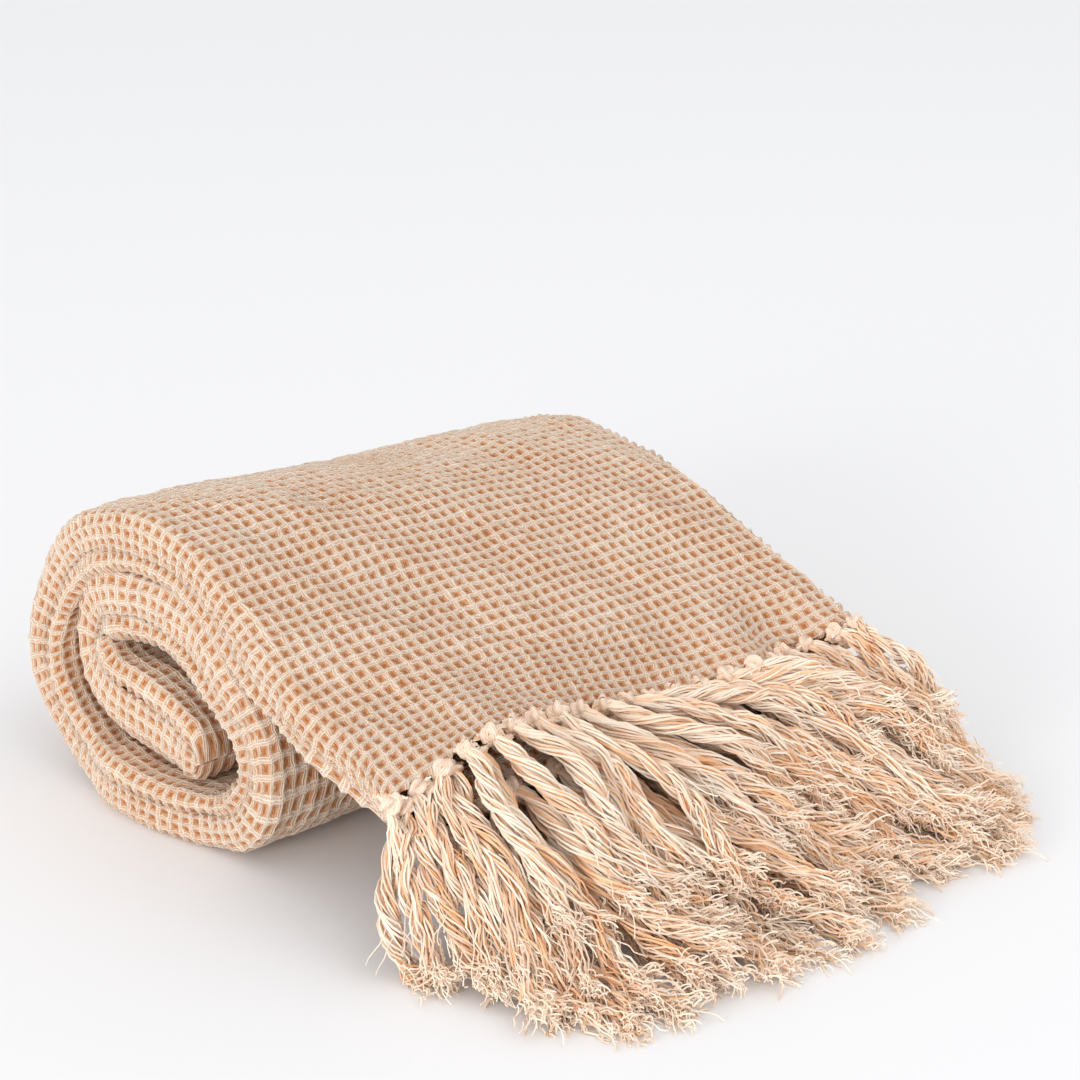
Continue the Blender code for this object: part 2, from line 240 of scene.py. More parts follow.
# The section of the folded strip. Its thickness runs from -1, its inside, to 1, its outside, and
# its layers meet at a third, where a slit parts them. Its rims are inset as far as they are round
NOTCH = 1 / 3
SLIT = 0.016
THICK_RIM = 0.012
THIN_RIM = 0.006
GROOVE = 0.0026
HIDDEN_RIM = 0.020
HIDDEN_BULGE = 0.002
WOVEN_RIM = 3
UNDERSIDE_STEPS = list(range(8, 39, 6))
HIDDEN_SHARES = (0, 0.33, 0.67)
# Its broad sides, from the outside round to the outside again: which way each faces, its layer,
# its lift, its insets at the near and far rims, where its weave is raised, and the cells round
# the rim that follows it
SECTION = (
    (1, 0, 1.0, THICK_RIM, THIN_RIM, "all", 5),
    (-1, 1, -NOTCH + SLIT, GROOVE, HIDDEN_RIM, "hidden", 2),
    (1, 2, -NOTCH - SLIT, GROOVE, HIDDEN_RIM, "hidden", 2),
    (-1, 2, -1.0, THIN_RIM, THICK_RIM, "rims", 5),
    (1, 1, NOTCH - SLIT, HIDDEN_RIM, GROOVE, "hidden", 2),
    (-1, 0, NOTCH + SLIT, HIDDEN_RIM, GROOVE, "hidden", 2),
)

# The section's columns in order: the share across it, the insets of its near and far rims, the
# lift, the cells counted along the skin, whether its weave is raised, and the two layers that it
# runs between at the hem, with the second one's share and the side of each
columns = []
cells_round = 0


def woven_steps(start, stop):
    """Three columns or rows to each waffle cell, counted in cells."""
    return [cell + phase for cell in range(start, stop) for phase in CELL_PHASES]


for number, (side, layer, lift, near_inset, far_inset, weave, rim_cells) in enumerate(SECTION):
    far_rim = STRIP_CELLS - WOVEN_RIM
    if weave == "all":
        steps = woven_steps(0, STRIP_CELLS)
    elif weave == "rims":
        steps = woven_steps(0, WOVEN_RIM) + UNDERSIDE_STEPS + woven_steps(far_rim, STRIP_CELLS)
    else:
        steps = [STRIP_CELLS * share for share in HIDDEN_SHARES]
    # A side that faces outwards runs from the far rim to the near one, the others back
    for step in steps:
        across = 1 - step / STRIP_CELLS if side > 0 else step / STRIP_CELLS
        raised = weave == "all" or (weave == "rims" and not WOVEN_RIM <= step < far_rim)
        columns.append((
            across, near_inset, far_inset, lift, cells_round + step, raised,
            layer, layer, 0.0, side, side,
        ))
    cells_round += STRIP_CELLS

    # The rounded fold or edge that joins it to the next side
    next_side, next_layer, next_lift, next_near, next_far = SECTION[(number + 1) % len(SECTION)][:5]
    across = 0.0 if side > 0 else 1.0
    first_inset, last_inset = (near_inset, next_near) if side > 0 else (far_inset, next_far)
    seen = first_inset != HIDDEN_RIM
    for step in woven_steps(0, rim_cells) if seen else range(rim_cells):
        turn = math.pi * step / rim_cells
        share = (1 - math.cos(turn)) / 2
        reach = first_inset if step < rim_cells / 2 else last_inset
        inset = reach * (1 - math.sin(turn)) if seen else reach - HIDDEN_BULGE * math.sin(turn)
        columns.append((
            across, inset, inset, blend(lift, next_lift, share), cells_round + step, seen,
            layer, next_layer, share, side, next_side,
        ))
    cells_round += rim_cells
columns.append((1.0, THIN_RIM, THIN_RIM, 1.0, cells_round, False, 0, 0, 0.0, 1, 1))

ring = np.array(columns, float).T
across, near_inset, far_inset, lift, cell_u, raised_column = ring[:6]
leaves, leaf_share, sides = ring[6:8].astype(int), ring[8], ring[9:]

# Rows, three to a cell: a few round the doubled end, then along the winding, then out to the hem
guide_places = np.linspace(0, LAST_ROW, GUIDE_STEPS)
guide = middle_at(guide_places, np.array([GUIDE_SHARE]))[:, 0]
guide_length = np.concatenate(([0.0], np.cumsum(np.hypot(*np.diff(guide, axis=0).T))))
wound_cells = round(guide_length[-1] / CELL)
hem_cell = wound_cells + LEAF_CELLS
cell_v = np.array(
    [-past / CELL for past, _ in DOUBLED_END]
    + woven_steps(0, hem_cell)
    + [hem_cell + phase for phase in HEM_PHASES]
)
wound = np.clip(cell_v / wound_cells, 0.0, 1.0)
place = np.interp(wound * guide_length[-1], guide_length, guide_places)
out_to_hem = np.clip((cell_v - wound_cells) / LEAF_CELLS, 0.0, 1.0)[:, None, None]
past = np.zeros(len(cell_v))
slim = np.ones(len(cell_v))
past[:len(DOUBLED_END)], slim[:len(DOUBLED_END)] = np.array(DOUBLED_END).T
rows, cols = len(cell_v), len(cell_u)
u_grid, v_grid = np.meshgrid(cell_u, cell_v)

# Along the winding
row = station_at(place)[:, None, :]
near_edge = row[..., 0] + EDGE_WANDER * np.sin(EDGE_TURN * place)[:, None]
x = blend(near_edge + near_inset, FAR_EDGE - far_inset, across)
thick = blend(row[..., 5], row[..., 6], across) * slim[:, None]
along = unit(middle_at(place + SLOPE_REACH, across) - middle_at(place - SLOPE_REACH, across))
outward = np.stack((along[..., 1], -along[..., 0]), -1)
sag = SAG * np.sin(SAG_TURN_ALONG * x + SAG_TURN_ROUND * place[:, None]) * np.sin(math.pi * across)
skin = middle_at(place, across) - along * past[:, None, None]
skin = skin + outward * (lift * thick / 2 + sag)[..., None]
loose = ease((place - LOOSE_FROM) / (LAST_ROW - LOOSE_FROM))[:, None]
cloth = np.stack((x, skin[..., 0], skin[..., 1] + swells(x, LOOSE_LIFT) * loose), -1)

# From where the layers part, out to the hem, which turns in under the knots
hem = np.zeros((cols, 3))
for leaf, side, weight in zip(leaves, sides, (1 - leaf_share, leaf_share)):
    half_width = LEAVES[leaf, 4]
    hem_x = blend(-half_width + near_inset, half_width - far_inset, across)
    hem_y, hem_z = hem_at(leaf, hem_x)
    hem += np.stack((hem_x, hem_y, hem_z + side * LEAF_THICK / 2), -1) * weight[:, None]
cloth = blend(cloth, hem[None], out_to_hem)
cloth[-3:, :, 1] -= TURN_FORWARD * np.sin(TURNED_IN * math.pi / 2)[:, None]
cloth[-3:, :, 2] -= TURN_INWARD * TURNED_IN[:, None] * blend(*sides, leaf_share)

# Handling leaves the cloth uneven: it swells and sinks softly, its outside most, and its cells
# drift along the skin. Each is a few crossing waves: height, and turns to a cell round and along
SWELL = ((0.0006, 0.09, 0.05), (0.0005, 0.05, 0.13), (0.0004, 0.21, 0.11))
OUTER_SWELL = ((0.0013, 0.045, 0.02), (0.0011, 0.02, 0.07), (0.0006, 0.10, 0.09))
ROW_DRIFT = ((0.0011, 0.06, 0.04), (0.0004, 0.31, 0.19), (0.0003, 0.83, 0.47))
COLUMN_DRIFT = ((0.0010, 0.04, 0.07), (0.0005, 0.23, 0.29), (0.0004, 0.51, 0.77))
# A wave's crests bend to and fro, by a share of its own turns
WAVE_BEND = 1.3
BEND_ALONG = 0.61
BEND_ROUND = -0.53
# The rows' drift dies out towards the hem, over so many cells
HEM_HOLD_CELLS = 4


def ripple(seed, waves):
    """A smooth uneven surface over the cloth's cells, from a few crossing waves."""
    phase = random.Random(seed)
    total = np.zeros(u_grid.shape)
    for height, across, along in waves:
        swing = phase.uniform(0, math.tau), phase.uniform(0, math.tau)
        slant = math.tau * (BEND_ALONG * along * u_grid + BEND_ROUND * across * v_grid)
        bend = WAVE_BEND * np.sin(slant + swing[0])
        total += height * np.sin(math.tau * (across * u_grid + along * v_grid) + swing[1] + bend)
    return total


row_way = unit(np.gradient(cloth, axis=0))
column_way = unit(np.gradient(cloth, axis=1))
normal = unit(np.cross(column_way, row_way))
hem_hold = ease((hem_cell - v_grid) / HEM_HOLD_CELLS)
outside = ease((place - OUTER_FROM) / OUTER_ROWS)[:, None] * (lift > 0.99)
swell = ripple(3, SWELL) + outside * ripple(4, OUTER_SWELL)
cloth += normal * (swell * raised_column)[..., None]
cloth += row_way * (ripple(5, ROW_DRIFT) * raised_column * hem_hold)[..., None]
cloth += column_way * (ripple(6, COLUMN_DRIFT) * raised_column)[..., None]

# The waffle's own relief: ridges across the strip, slightly lower dividers along it, deep cells
RELIEF = 0.0026
DIVIDER_HEIGHT = 0.8
UNEVEN_WEAVE = ((0.10, 0.37, 0.41), (0.08, 0.71, 0.13))

on_ridge = np.isclose(v_grid % 1, 0, atol=1e-6)
on_divider = np.isclose(u_grid % 1, 0, atol=1e-6)
height = np.where(on_ridge, 1.0, np.where(on_divider, DIVIDER_HEIGHT, 0.0)) + ripple(7, UNEVEN_WEAVE)
relief = RELIEF * (height - 0.5) * raised_column * slim[:, None]
cloth += normal * relief[..., None]
cloth[:, -1] = cloth[:, 0]
cloth += CENTRE
cloth[..., 2] = np.maximum(cloth[..., 2], FLOOR_GAP)

bm = bmesh.new()
bmesh.ops.create_grid(bm, x_segments=cols - 1, y_segments=rows - 1, size=1.0)
throw_mesh = bpy.data.meshes.new("throw_cloth")
bm.to_mesh(throw_mesh)
bm.free()
throw_mesh.vertices.foreach_set("co", cloth.reshape(-1).astype(np.float32))
corner = np.empty(len(throw_mesh.loops), np.int32)
throw_mesh.loops.foreach_get("vertex_index", corner)
cells = throw_mesh.uv_layers.new(name="cells")
cell_pairs = np.stack((u_grid.reshape(-1)[corner], v_grid.reshape(-1)[corner]), -1)
cells.data.foreach_set("uv", cell_pairs.reshape(-1).astype(np.float32))
throw_mesh.shade_smooth()
throw_mesh.update()

# Waffle cotton: cream yarns raised in ridges and dividers round cells that are tan in their pits.
# Its colour by height, from a pit up its side to the top of a ridge: the cloth's own cream and tan,
# with painted shade that deepens down a pit's sides to a dark brown in its middle
WAFFLE_TONES_AND_PIT_SHADE = (
    (0.03, (0.40, 0.14, 0.045, 1.0)),
    (0.28, (0.61, 0.29, 0.135, 1.0)),
    (0.53, (0.73, 0.45, 0.28, 1.0)),
    (0.72, (0.81, 0.61, 0.45, 1.0)),
    (0.95, (0.94, 0.83, 0.715, 1.0)),
)
WAFFLE_SHEEN = (1.0, 0.88, 0.76, 1.0)
YARNS_TO_CELL = 6.0
# The lines of the weave stray in slow wanders and in short fuzz, by how far in cells
WANDER_SCALE = 1.1
WANDER_REACH = 0.24
FUZZ_SCALE = 6.5
FUZZ_REACH = 0.13
# How far from its middle a ridge or a divider begins to rise, and is at its top, in cells
RIDGE_FOOT = 0.38
RIDGE_TOP = 0.14
DIVIDER_FOOT = 0.40
DIVIDER_TOP = 0.20
DIVIDER_RISE = 0.97
DIVIDER_SPREAD = -0.12
# How far the yarns' stripes swing, and about what height
RIDGE_YARNS = (0.34, 0.68)
DIVIDER_YARNS = (0.48, 0.53)
PIT_YARNS = 0.07
# How steeply a pit's sides fall, and from what height: the fall sinks the bump and darkens the colour
# towards a pit's middle as painted shade
PIT_FALL_AND_SHADE = (-1.7, 0.76)
# How far its colour swings from patch to patch and from speck to speck, and its fuzz stands up
PATCH_SCALE = 0.16
PATCH_SWING = 0.25
SPECK_SWING = 0.45
FUZZ_HEIGHT = 0.45


def add_node(tree, kind, inputs=(), **settings):
    """A shader node with its settings, its fixed inputs and its links given by socket."""
    node = tree.nodes.new(kind)
    for name, value in settings.items():
        setattr(node, name, value)
    for socket, value in dict(inputs).items():
        if isinstance(value, bpy.types.NodeSocket):
            tree.links.new(value, node.inputs[socket])
        else:
            node.inputs[socket].default_value = value
    return node


def calculate(tree, operation, *values):
    """The result of a sum on values, sockets or both."""
    return add_node(tree, "ShaderNodeMath", enumerate(values), operation=operation).outputs[0]


def combine(tree, operation, first, second):
    """Two vectors, or a vector and its scale, worked together."""
    inputs = {0: first, "Scale" if operation == "SCALE" else 1: second}
    return add_node(tree, "ShaderNodeVectorMath", inputs, operation=operation).outputs[0]


def add_noise(tree, at, scale, detail, dimensions="3D"):
    inputs = {"Vector": at, "Scale": scale, "Detail": detail}
    return add_node(tree, "ShaderNodeTexNoise", inputs, noise_dimensions=dimensions)


def stripes(tree, value, turns):
    """Soft stripes from -1 to 1 along a value, so many to each unit of it."""
    return calculate(tree, "COSINE", calculate(tree, "MULTIPLY", value, math.tau * turns))


def swing_about(tree, value, swing, middle):
    """A noise value's swing from its own middle, added to another value."""
    return calculate(tree, "MULTIPLY_ADD", calculate(tree, "SUBTRACT", value, 0.5), swing, middle)


def rise(tree, distance, foot, top, height):
    """How high the cloth stands at a distance from the middle of a ridge, in cells."""
    return add_node(
        tree, "ShaderNodeMapRange",
        {"Value": distance, "From Min": foot, "From Max": top, "To Min": 0.0, "To Max": height},
        interpolation_type="SMOOTHSTEP",
    ).outputs["Result"]


def colour_steps(tree, factor, *stops):
    """The colour at a value between stops, each a position and its colour."""
    ramp = add_node(tree, "ShaderNodeValToRGB", {0: factor})
    while len(ramp.color_ramp.elements) < len(stops):
        ramp.color_ramp.elements.new(0.5)
    for element, (position, colour) in zip(ramp.color_ramp.elements, stops):
        element.position = position
        element.color = colour
    return ramp.outputs["Color"]


def new_cotton(name, roughness, sheen, sheen_tint):
    """A material of matt cotton with a soft warm sheen, and its surface."""
    cotton = bpy.data.materials.new(name)
    cotton.use_nodes = True
    surface = cotton.node_tree.nodes["Principled BSDF"]
    surface.inputs["Roughness"].default_value = roughness
    surface.inputs["Specular IOR Level"].default_value = 0.15
    surface.inputs["Sheen Weight"].default_value = sheen
    surface.inputs["Sheen Roughness"].default_value = 0.5
    surface.inputs["Sheen Tint"].default_value = sheen_tint
    return cotton, surface


def finish_cotton(tree, surface, colour, height, strength, distance):
    """The cotton's colour, and its fine yarns and fibres as a bump."""
    tree.links.new(colour, surface.inputs["Base Color"])
    bump = add_node(tree, "ShaderNodeBump", {"Strength": strength, "Distance": distance, "Height": height})
    tree.links.new(bump.outputs["Normal"], surface.inputs["Normal"])


waffle, surface = new_cotton("waffle_cotton", roughness=0.92, sheen=0.25, sheen_tint=WAFFLE_SHEEN)
tree = waffle.node_tree
cell_map = add_node(tree, "ShaderNodeUVMap", uv_map="cells").outputs["UV"]
wander = add_noise(tree, cell_map, WANDER_SCALE, 2.0, "2D")
fuzz = add_noise(tree, cell_map, FUZZ_SCALE, 2.0, "2D")
patch = add_noise(tree, cell_map, PATCH_SCALE, 3.0, "2D")
half = (0.5, 0.5, 0.5)
wandering = combine(tree, "SCALE", combine(tree, "SUBTRACT", wander.outputs["Color"], half), WANDER_REACH)
fuzzing = combine(tree, "SCALE", combine(tree, "SUBTRACT", fuzz.outputs["Color"], half), FUZZ_REACH)
woven = combine(tree, "ADD", cell_map, wandering)
ruffled = combine(tree, "ADD", woven, fuzzing)
yarn_place = add_node(tree, "ShaderNodeSeparateXYZ", {0: woven})
cell_place = add_node(tree, "ShaderNodeSeparateXYZ", {0: ruffled})
from_divider = calculate(tree, "PINGPONG", cell_place.outputs["X"], 0.5)
from_ridge = calculate(tree, "PINGPONG", cell_place.outputs["Y"], 0.5)
yarn_across = stripes(tree, yarn_place.outputs["X"], YARNS_TO_CELL)
yarn_along = stripes(tree, yarn_place.outputs["Y"], YARNS_TO_CELL)

# A divider's yarns spread where they pass a cell and draw together at the corners
by_cell = stripes(tree, cell_place.outputs["Y"], 1)
spread = calculate(tree, "MULTIPLY_ADD", by_cell, DIVIDER_SPREAD, 1.0)
from_divider = calculate(tree, "DIVIDE", from_divider, spread)
ridge = rise(tree, from_ridge, RIDGE_FOOT, RIDGE_TOP, 1.0)
ridge = calculate(tree, "MULTIPLY", ridge, calculate(tree, "MULTIPLY_ADD", yarn_along, *RIDGE_YARNS))
divider = rise(tree, from_divider, DIVIDER_FOOT, DIVIDER_TOP, DIVIDER_RISE)
divider = calculate(tree, "MULTIPLY", divider, calculate(tree, "MULTIPLY_ADD", yarn_across, *DIVIDER_YARNS))
from_line = calculate(tree, "MINIMUM", from_ridge, from_divider)
pit = calculate(tree, "MULTIPLY_ADD", from_line, *PIT_FALL_AND_SHADE)
pit = calculate(tree, "MULTIPLY_ADD", yarn_across, PIT_YARNS, pit)
raised = calculate(tree, "MAXIMUM", calculate(tree, "MAXIMUM", ridge, divider), pit)
tone = swing_about(tree, patch.outputs["Fac"], PATCH_SWING, raised)
tone = swing_about(tree, fuzz.outputs["Fac"], SPECK_SWING, tone)
fuzzy = calculate(tree, "MULTIPLY_ADD", fuzz.outputs["Fac"], FUZZ_HEIGHT, raised)
# The lowest tones, in the pits' middles, are painted shade
colour = colour_steps(tree, tone, *WAFFLE_TONES_AND_PIT_SHADE)
finish_cotton(tree, surface, colour, fuzzy, strength=0.9, distance=0.0012)

throw_mesh.materials.append(waffle)
throw = bpy.data.objects.new("throw_cloth", throw_mesh)
scene.collection.objects.link(throw)
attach(throw, "root")
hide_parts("throw")

# The fringe: each of the three layers is doubled cloth, so it ends in an upper and a lower hem.
# Their warp yarns are knotted in bunches against the hem, loosely twisted, and left to fray.
HEMS = 6
TOP_TASSELS = 21
TASSEL_PITCH = 0.0202
TASSEL_LENGTH = 0.154
LENGTH_UNEVEN = 0.007
LONGER_BY_HEM = 0.02
PLIES = 3
YARNS_IN_PLY = (11, 10, 9, 7, 6, 6)
FRAYS = (9, 8, 8, 8, 8, 8)
YARN_RADIUS = 0.00078
KNOT_AT = 0.0080
TASSEL_POINTS = 24

# The yarns' three tones, each light and dark, and the knots' own
TONES = {
    "yarn_cream": ((0.96, 0.85, 0.725, 1.0), (0.93, 0.75, 0.585, 1.0)),
    "yarn_peach": ((0.95, 0.76, 0.60, 1.0), (0.92, 0.64, 0.45, 1.0)),
    "yarn_tan": ((0.93, 0.63, 0.40, 1.0), (0.88, 0.49, 0.25, 1.0)),
}
KNOT_LIGHT = (0.93, 0.78, 0.65, 1.0)
KNOT_DARK = (0.84, 0.56, 0.38, 1.0)
YARN_SHEEN = (1.0, 0.85, 0.70, 1.0)
MOTTLE_SCALE = 70.0
FLECK_SCALE = 900.0
MOTTLE_SHARE = 0.6
KNOT_MOTTLE_SCALE = 300.0
STRAND_YARNS = 6
STRAND_TWIST = 3.0
STRAND_LINES = 0.22
# Shares of the three tones in a tassel, for the topmost hem and for those that lie in its shade, whose
# extra tan is painted shade, and in the inner yarns of every ply, whose tan is painted shade between yarns
TONE_MIXES = (
    ((8, 2, 0.3), (6, 3, 0.7), (4, 4, 1.6)),
    ((7, 3, 1), (5, 4, 2), (4, 3, 3)),
)
INNER_SHADE_TONES = (1, 3, 5)
INNER_SHARE = 1 / 3

yarn_materials = []
for tone_name, (light_tone, dark_tone) in TONES.items():
    yarn_cotton, surface = new_cotton(tone_name, roughness=0.9, sheen=0.15, sheen_tint=YARN_SHEEN)
    tree = yarn_cotton.node_tree
    at = add_node(tree, "ShaderNodeTexCoord").outputs["Object"]
    mottle = add_noise(tree, at, MOTTLE_SCALE, 3.0).outputs["Fac"]
    fleck = add_noise(tree, at, FLECK_SCALE, 2.0).outputs["Fac"]
    flecks = calculate(tree, "MULTIPLY", fleck, 1 - MOTTLE_SHARE)
    mixed = calculate(tree, "MULTIPLY_ADD", mottle, MOTTLE_SHARE, flecks)
    colour = colour_steps(tree, mixed, (0.36, dark_tone), (0.60, light_tone))
    finish_cotton(tree, surface, colour, fleck, strength=0.4, distance=0.0003)
    yarn_materials.append(yarn_cotton)

# A knot's strands are thick, so the fine yarns they are made of are lines along their own map
knot_cotton, surface = new_cotton("knot_cotton", roughness=0.9, sheen=0.15, sheen_tint=YARN_SHEEN)
tree = knot_cotton.node_tree
strand_map = add_node(tree, "ShaderNodeUVMap", uv_map="UVMap").outputs["UV"]
strand_place = add_node(tree, "ShaderNodeSeparateXYZ", {0: strand_map}).outputs
at = add_node(tree, "ShaderNodeTexCoord").outputs["Object"]
mottle = add_noise(tree, at, KNOT_MOTTLE_SCALE, 3.0).outputs["Fac"]
twisted = calculate(tree, "MULTIPLY_ADD", strand_place["X"], STRAND_TWIST, strand_place["Y"])
lines = calculate(tree, "MULTIPLY_ADD", stripes(tree, twisted, STRAND_YARNS), STRAND_LINES, mottle)
colour = colour_steps(tree, lines, (0.22, KNOT_DARK), (0.62, KNOT_LIGHT))
finish_cotton(tree, surface, colour, lines, strength=0.6, distance=0.0005)

# How the tassels fall from their hems and lie: each hem of a pair a little above or below its
# layer's middle, and the tassels in decks, one on another, from the floor up
PAIR_RISE = 0.0042
HEM_GAP = 0.0005
DECK_PITCH = 0.0088
DECK_FLOOR = 0.0040
# Over this share of the hem's width, at its near end, the tassels hang down, and on each lower
# hem a little less. They come forward late and are down before their ends
HANG_SHARE = 0.22
HANG_LESS = 0.1
HANG_POWER = 1.8
HANG_DOWN_BY = 0.86
# How far a tassel's end lies towards the far side from its root, by its share of the hem's
# width: for the topmost hem, whose middle is brushed that way, and from the third below it down
LEAN_SHARES = (0.0, 0.10, 0.20, 0.25, 0.35, 0.50, 0.65, 0.80, 1.0)
TOP_LEAN = (-0.020, -0.026, -0.004, 0.028, 0.040, 0.092, 0.102, 0.080, 0.040)
LOW_LEAN = (-0.022, -0.018, 0.000, 0.008, 0.022, 0.042, 0.058, 0.062, 0.052)
LOW_LEAN_HEM = 3
LEAN_UNEVEN = 0.012
FAR_REACH = 0.233
FAR_UNEVEN = 0.014
# How much of its free length a topmost tassel reaches forward: all of it from the third hem down
TOP_FORWARD = (1.0, 1.0, 1.0, 1.0, 1.05, 0.92, 0.74, 0.66, 0.60)
FULL_FORWARD_HEM = 2
FORWARD_UNEVEN = (0.86, 1.08)
LEAST_FORWARD = 0.05
# The front of the pile on the floor, as x and y along it, and how far the ends stay behind it
PILE_FRONT = np.array((
    (-0.236, -0.239), (-0.202, -0.284), (-0.189, -0.323), (-0.173, -0.358), (-0.141, -0.392),
    (-0.093, -0.398), (0.0, -0.406), (0.16, -0.406), (0.21, -0.378), (0.26, -0.300),
))
BEHIND_FRONT = (0.010, 0.024)
# The fall starts a little in front of the hem and ends at this y, at the near and the far end
FALL_START = 0.010
FALL_END = (-0.312, -0.328)
FALL_EASE = 0.35
# Each tassel's own bends: how late it leans, how far and how often it bends, how it bows up or
# down, and how much its last third sinks
LEAN_LATE = (0.0, 0.9)
BEND_REACH = (0.002, 0.009)
BEND_TURNS = (0.8, 1.4)
BEND_FROM = 0.3
BOW = (-0.003, 0.006)
END_SINK = (0.08, 0.30)
END_FROM = 0.66


def tassel_line(hem, number, length, draw):
    """Points of a tassel's middle line from its hem to its end, as it falls and lies."""
    below = HEMS - 1 - hem
    tassels = TOP_TASSELS - hem
    from_far = tassels - 1 - number
    deck = min(below, number, from_far)
    root_x = (number + 0.5 - tassels / 2) * TASSEL_PITCH
    share = root_x / STRIP_WIDTH + 0.5
    root_y, root_z = hem_at(hem // 2, root_x)
    root_y -= HEM_GAP
    root_z += -PAIR_RISE if hem % 2 else PAIR_RISE
    hang = (1 - HANG_LESS * hem) * (1 - ease(share / HANG_SHARE))
    top_lean, low_lean = (np.interp(share, LEAN_SHARES, leans) for leans in (TOP_LEAN, LOW_LEAN))
    lean = blend(top_lean, low_lean, min(hem / LOW_LEAN_HEM, 1))
    lean += draw.gauss(0, LEAN_UNEVEN) * (1 - hang)
    lean = min(lean, FAR_REACH - draw.uniform(0, FAR_UNEVEN) - root_x)
    drop = root_z - DECK_FLOOR - DECK_PITCH * deck
    forward = math.sqrt(max(length**2 - drop**2 - lean**2, LEAST_FORWARD**2))
    forward *= draw.uniform(*FORWARD_UNEVEN)
    forward *= blend(np.interp(share, LEAN_SHARES, TOP_FORWARD), 1.0, min(hem / FULL_FORWARD_HEM, 1))
    front = np.interp(root_x + lean, *PILE_FRONT.T)
    forward = min(forward, root_y - front - draw.uniform(*BEHIND_FRONT))

    t = np.linspace(0, 1, TASSEL_POINTS)
    y = root_y - forward * blend(t, t**HANG_POWER, hang)
    start_y = root_y - FALL_START
    fall = np.clip((start_y - y) / (start_y - blend(*FALL_END, share)), 0.0, 1.0)
    fall = blend(blend(fall, ease(fall), FALL_EASE), np.minimum(t / HANG_DOWN_BY, 1.0), hang)
    x = root_x + lean * blend(t, ease(t), draw.uniform(*LEAN_LATE))
    bend = draw.uniform(*BEND_REACH) * ease(t / BEND_FROM)
    x = x + bend * np.sin(math.tau * (t * draw.uniform(*BEND_TURNS) + draw.random()))
    z = root_z - drop * fall + draw.uniform(*BOW) * np.sin(math.pi * t)
    z *= 1 - draw.uniform(*END_SINK) * ease((t - END_FROM) / (1 - END_FROM))
    return np.stack((x, y, np.maximum(z, DECK_FLOOR)), -1)


def frames_along(line):
    """For each point of a line, the way it runs, the level way to its side and the way up."""
    way = unit(np.gradient(line, axis=0))
    level = unit(np.stack((-way[:, 1], way[:, 0], np.zeros(len(line))), -1))
    return way, level, np.cross(way, level)


def add_strand(curve, points, radii, material_index):
    """One strand of a curve through its points, kept above the floor by its own radius."""
    points = points + CENTRE
    points[:, 2] = np.maximum(points[:, 2], np.max(radii))
    spline = curve.splines.new("POLY")
    spline.points.add(len(points) - 1)
    spline.points.foreach_set("co", np.column_stack((points, np.ones(len(points)))).reshape(-1))
    spline.points.foreach_set("radius", np.broadcast_to(radii, len(points)).astype(np.float32))
    spline.material_index = material_index


# A tassel's three plies twist round each other, and their yarns round each ply's middle: how far
# out a ply and its outermost yarn are, and how far a yarn strays, by the distance from the hem.
# The last values of ply and yarn are where the tassel spreads like a brush
PLY_OUT = ((0, 0.012, 0.034, 0.105, 0.155), (0.0014, 0.0020, 0.0040, 0.0048, 0.0054))
YARN_OUT = ((0, 0.014, 0.034, 0.112, 0.135, 0.160), (0.0014, 0.0018, 0.0035, 0.0040, 0.0048, 0.0058))
YARN_STRAY = ((0, 0.02, 0.10, 0.155), (0.0001, 0.0003, 0.0007, 0.0018))
BRUSH_SPREAD = (0.7, 1.25)
PLY_TWIST = (0.070, 0.110)
YARN_TWIST = 0.085
YARN_INNERMOST = 0.7
YARN_TURN = 2.4
YARN_TURN_UNEVEN = 0.3
STRAY_PACE = (0.018, 0.036)
STRAY_PACE_UP = 1.2
FLATTENED = 0.85
HEM_FAN = 0.011
# How far plies and yarns end before the tassel's own line does
PLY_UNEVEN = 0.006
YARN_SHORTER = 0.008
YARN_END_UNEVEN = (-0.009, 0.005)
YARN_END_FROM = 0.6
FLOOR_PILE = (1.0, 5.0)
RADIUS_UNEVEN = (0.85, 1.15)
RADIUS_ALONG = ((0, 0.7, 1), (1, 1, 0.85))
# Each yarn's end comes apart in fine curled wisps
WISPS = 2
WISP_POINTS = 8
WISP_SIDEWAYS = 0.0024
WISP_UPWARD = (0.0006, 0.0018)
WISP_CURL = (0.0006, 0.0021)
WISP_LOOPS = (0.6, 1.5)
WISP_LENGTH = (0.006, 0.015)
WISP_RADIUS = 0.7 * YARN_RADIUS
WISP_TONES = (0, 0, 1)


def brush_out(s, places, reaches, spread):
    """A reach along a tassel, whose last value spreads as its end does."""
    return np.interp(s, places, (*reaches[:-1], reaches[-1] * spread))


def add_wisps(curve, points, level, up, draw):
    """A few fine curled wisps on from a yarn's last point."""
    tip, heading = points[-1], unit(points[-1] - points[-3])
    q = np.linspace(0, 1, WISP_POINTS)[:, None]
    for _ in range(WISPS):
        aside = level * draw.gauss(0, WISP_SIDEWAYS) + up * draw.gauss(*WISP_UPWARD)
        curl = draw.uniform(*WISP_CURL)
        loops, turn = draw.uniform(*WISP_LOOPS), draw.uniform(0, math.tau)
        wisp = tip + (heading * draw.uniform(*WISP_LENGTH) + aside) * q
        wisp = wisp + level * curl * (np.sin(math.tau * loops * q + turn) - math.sin(turn))
        wisp = wisp + up * curl * (np.cos(math.tau * loops * q + turn) - math.cos(turn))
        add_strand(curve, wisp, WISP_RADIUS, draw.choice(WISP_TONES))


